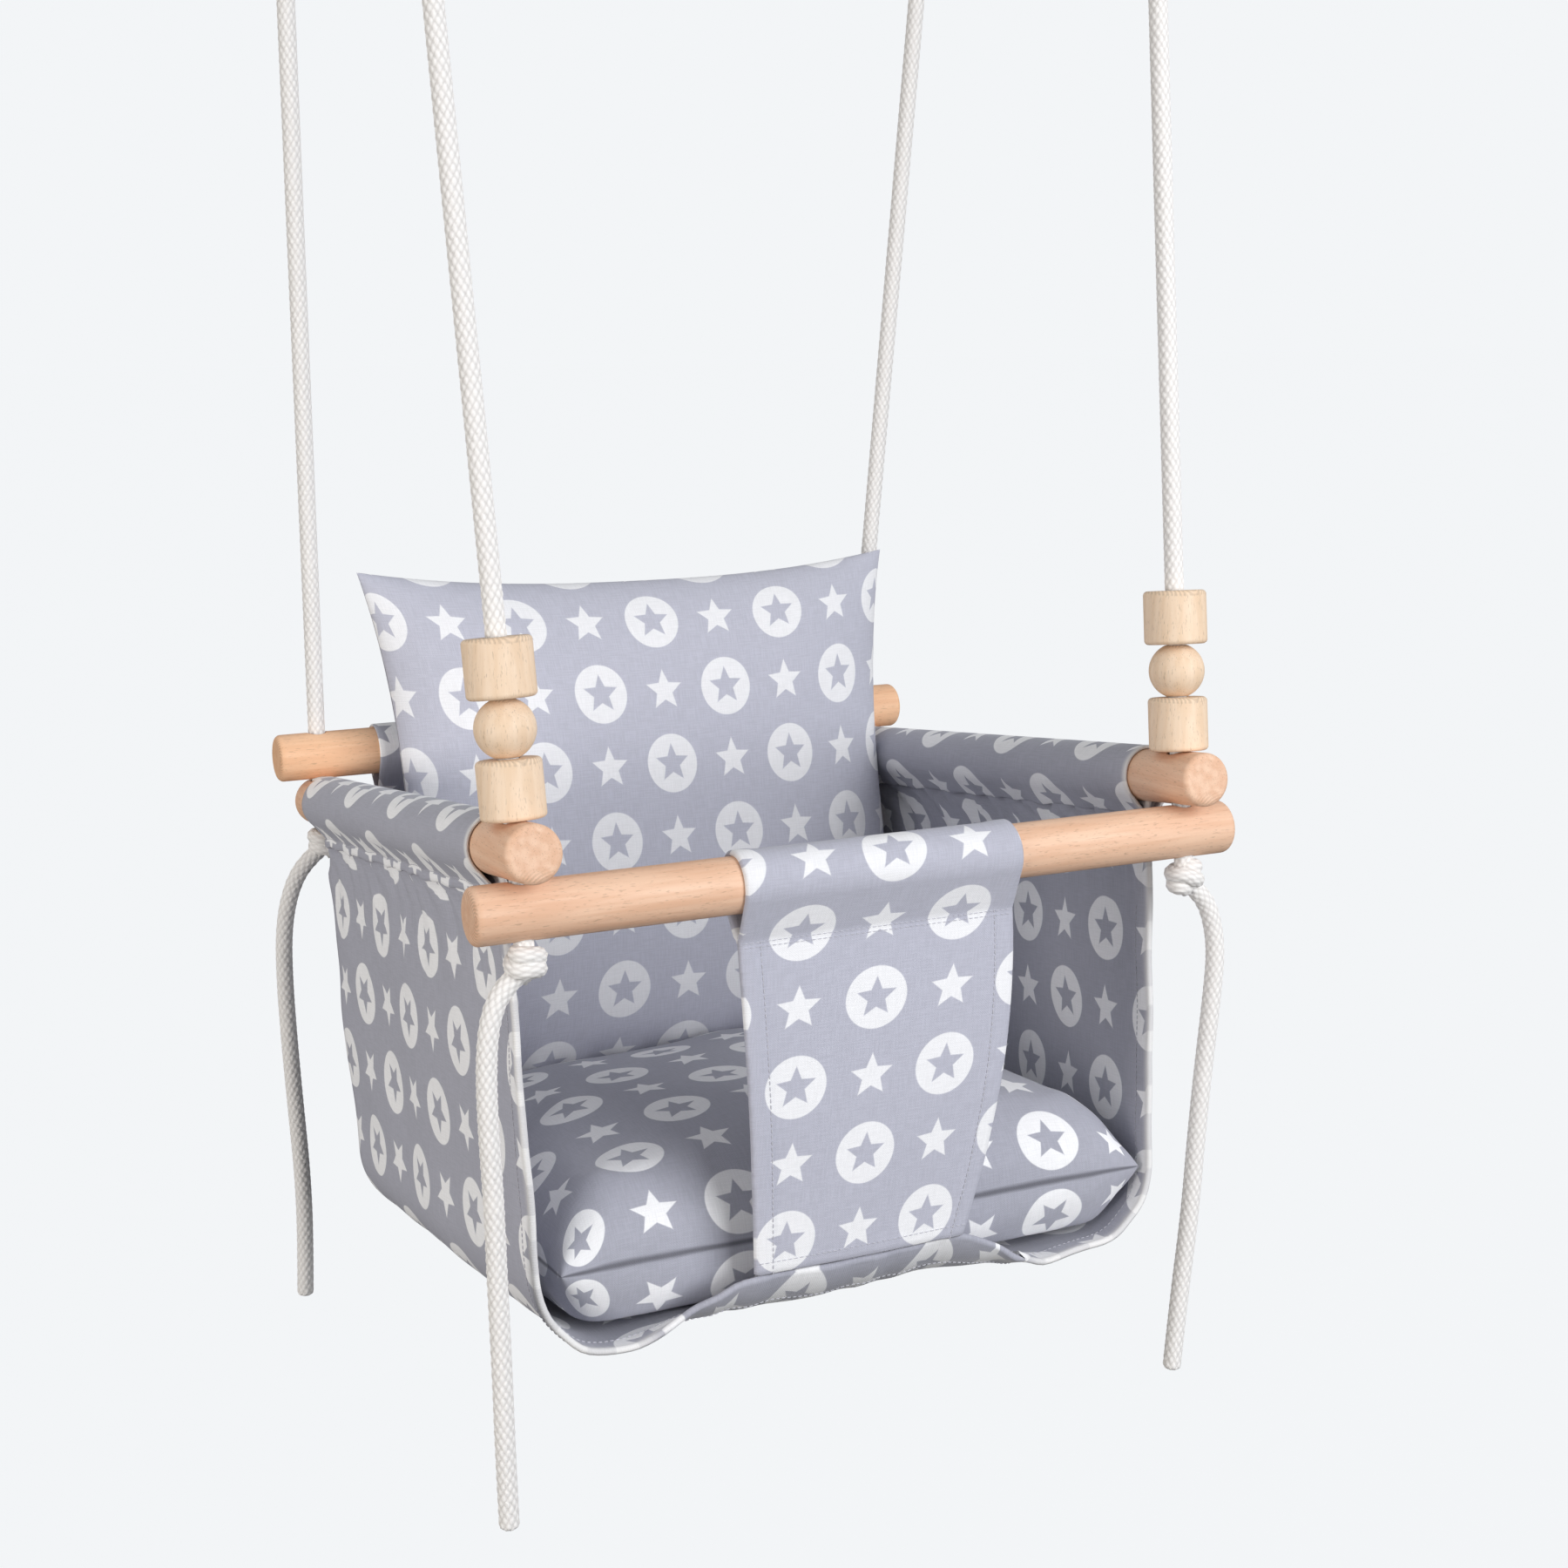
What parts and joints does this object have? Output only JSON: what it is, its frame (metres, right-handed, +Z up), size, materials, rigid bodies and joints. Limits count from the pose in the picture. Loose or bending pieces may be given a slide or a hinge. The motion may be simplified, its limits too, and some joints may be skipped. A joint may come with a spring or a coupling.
{
  "type": "toddler bucket swing",
  "caption": "Sewn cloth bucket seat for a toddler on wooden dowels and braided ropes, with a crotch strap, threaded beads, a seat cushion and a back pillow.",
  "frame": {"origin": "middle of the places where the rope loops bear on their hanging rings", "axes": "+Z up, -Y to the front where the child looks, +X to the right as seen from the front"},
  "size_m": [0.4696, 0.4415, 0.967],
  "materials": {
    "beech": "satin",
    "pale_beech": "satin",
    "rope": "matte",
    "star_cloth": "matte",
    "wadding": "matte",
    "steel": "satin"
  },
  "bodies": {
    "rings": {"left_front_ring": "steel", "left_back_ring": "steel", "right_front_ring": "steel", "right_back_ring": "steel"},
    "front_ropes": {"left_front_rope": "rope", "left_front_rope_loop": "rope", "left_front_loop_knot": "rope", "right_front_rope": "rope", "right_front_rope_loop": "rope", "right_front_loop_knot": "rope"},
    "back_ropes": {"left_back_rope": "rope", "left_back_rope_loop": "rope", "left_back_loop_knot": "rope", "right_back_rope": "rope", "right_back_rope_loop": "rope", "right_back_loop_knot": "rope"},
    "seat": {"left_side_dowel": "beech", "right_side_dowel": "beech", "front_dowel": "beech", "back_dowel": "beech", "left_front_lower_rope": "rope", "left_front_stop_knot": "rope", "left_front_tail": "rope", "left_back_lower_rope": "rope", "left_back_stop_knot": "rope", "left_back_tail": "rope", "right_front_lower_rope": "rope", "right_front_stop_knot": "rope", "right_front_tail": "rope", "right_back_lower_rope": "rope", "right_back_stop_knot": "rope", "right_back_tail": "rope", "left_sleeve": "star_cloth", "right_sleeve": "star_cloth", "back_sleeve": "star_cloth", "strap_sleeve": "star_cloth", "left_side_panel": "star_cloth", "right_side_panel": "star_cloth", "seat_bottom": "star_cloth", "back_panel": "star_cloth", "crotch_strap": "star_cloth"},
    "seat_cushion": {"seat_cushion_cover": "star_cloth", "seat_cushion_filling": "wadding"},
    "back_pillow": {"back_pillow_cover": "star_cloth", "back_pillow_filling": "wadding"},
    "left_lower_bead": {"left_lower_bead": "pale_beech"},
    "left_ball_bead": {"left_ball_bead": "pale_beech"},
    "left_upper_bead": {"left_upper_bead": "pale_beech"},
    "right_lower_bead": {"right_lower_bead": "pale_beech"},
    "right_ball_bead": {"right_ball_bead": "pale_beech"},
    "right_upper_bead": {"right_upper_bead": "pale_beech"}
  },
  "joints": [
    {"name": "front_rope_swing", "type": "hinge", "parent": "rings", "child": "front_ropes", "pos_m": [0, -0.12782, 0], "axis": [1, 0, 0], "range_deg": [-15, 15]},
    {"name": "seat_on_front_ropes", "type": "hinge", "parent": "front_ropes", "child": "seat", "pos_m": [0, -0.18346, -0.40419], "axis": [1, 0, 0], "range_deg": [-11, 11]},
    {"name": "back_rope_swing", "type": "hinge", "parent": "rings", "child": "back_ropes", "pos_m": [0, 0.12782, 0], "axis": [1, 0, 0], "range_deg": [-13, 13]},
    {"name": "seat_cushion_lift", "type": "slide", "parent": "seat", "child": "seat_cushion", "axis": [0, 0.1323, 0.9912], "range_m": [0, 0.1]},
    {"name": "back_pillow_lift", "type": "slide", "parent": "seat_cushion", "child": "back_pillow", "axis": [0, 0.2011, 0.9796], "range_m": [0, 0.2]},
    {"name": "left_lower_bead_lift", "type": "slide", "parent": "seat", "child": "left_lower_bead", "axis": [-0.0273, 0.1363, 0.9903], "range_m": [0, 0.007]},
    {"name": "left_ball_bead_lift", "type": "slide", "parent": "left_lower_bead", "child": "left_ball_bead", "axis": [-0.0273, 0.1363, 0.9903], "range_m": [0, 0.007]},
    {"name": "left_upper_bead_lift", "type": "slide", "parent": "left_ball_bead", "child": "left_upper_bead", "axis": [-0.0273, 0.1363, 0.9903], "range_m": [0, 0.007]},
    {"name": "right_lower_bead_lift", "type": "slide", "parent": "seat", "child": "right_lower_bead", "axis": [0.0273, 0.1363, 0.9903], "range_m": [0, 0.007]},
    {"name": "right_ball_bead_lift", "type": "slide", "parent": "right_lower_bead", "child": "right_ball_bead", "axis": [0.0273, 0.1363, 0.9903], "range_m": [0, 0.007]},
    {"name": "right_upper_bead_lift", "type": "slide", "parent": "right_ball_bead", "child": "right_upper_bead", "axis": [0.0273, 0.1363, 0.9903], "range_m": [0, 0.007]}
  ],
  "couplings": [
    {"joint": "seat_on_front_ropes", "follows": "front_rope_swing", "ratio": -0.7034},
    {"joint": "back_rope_swing", "follows": "front_rope_swing", "ratio": 0.8206}
  ]
}
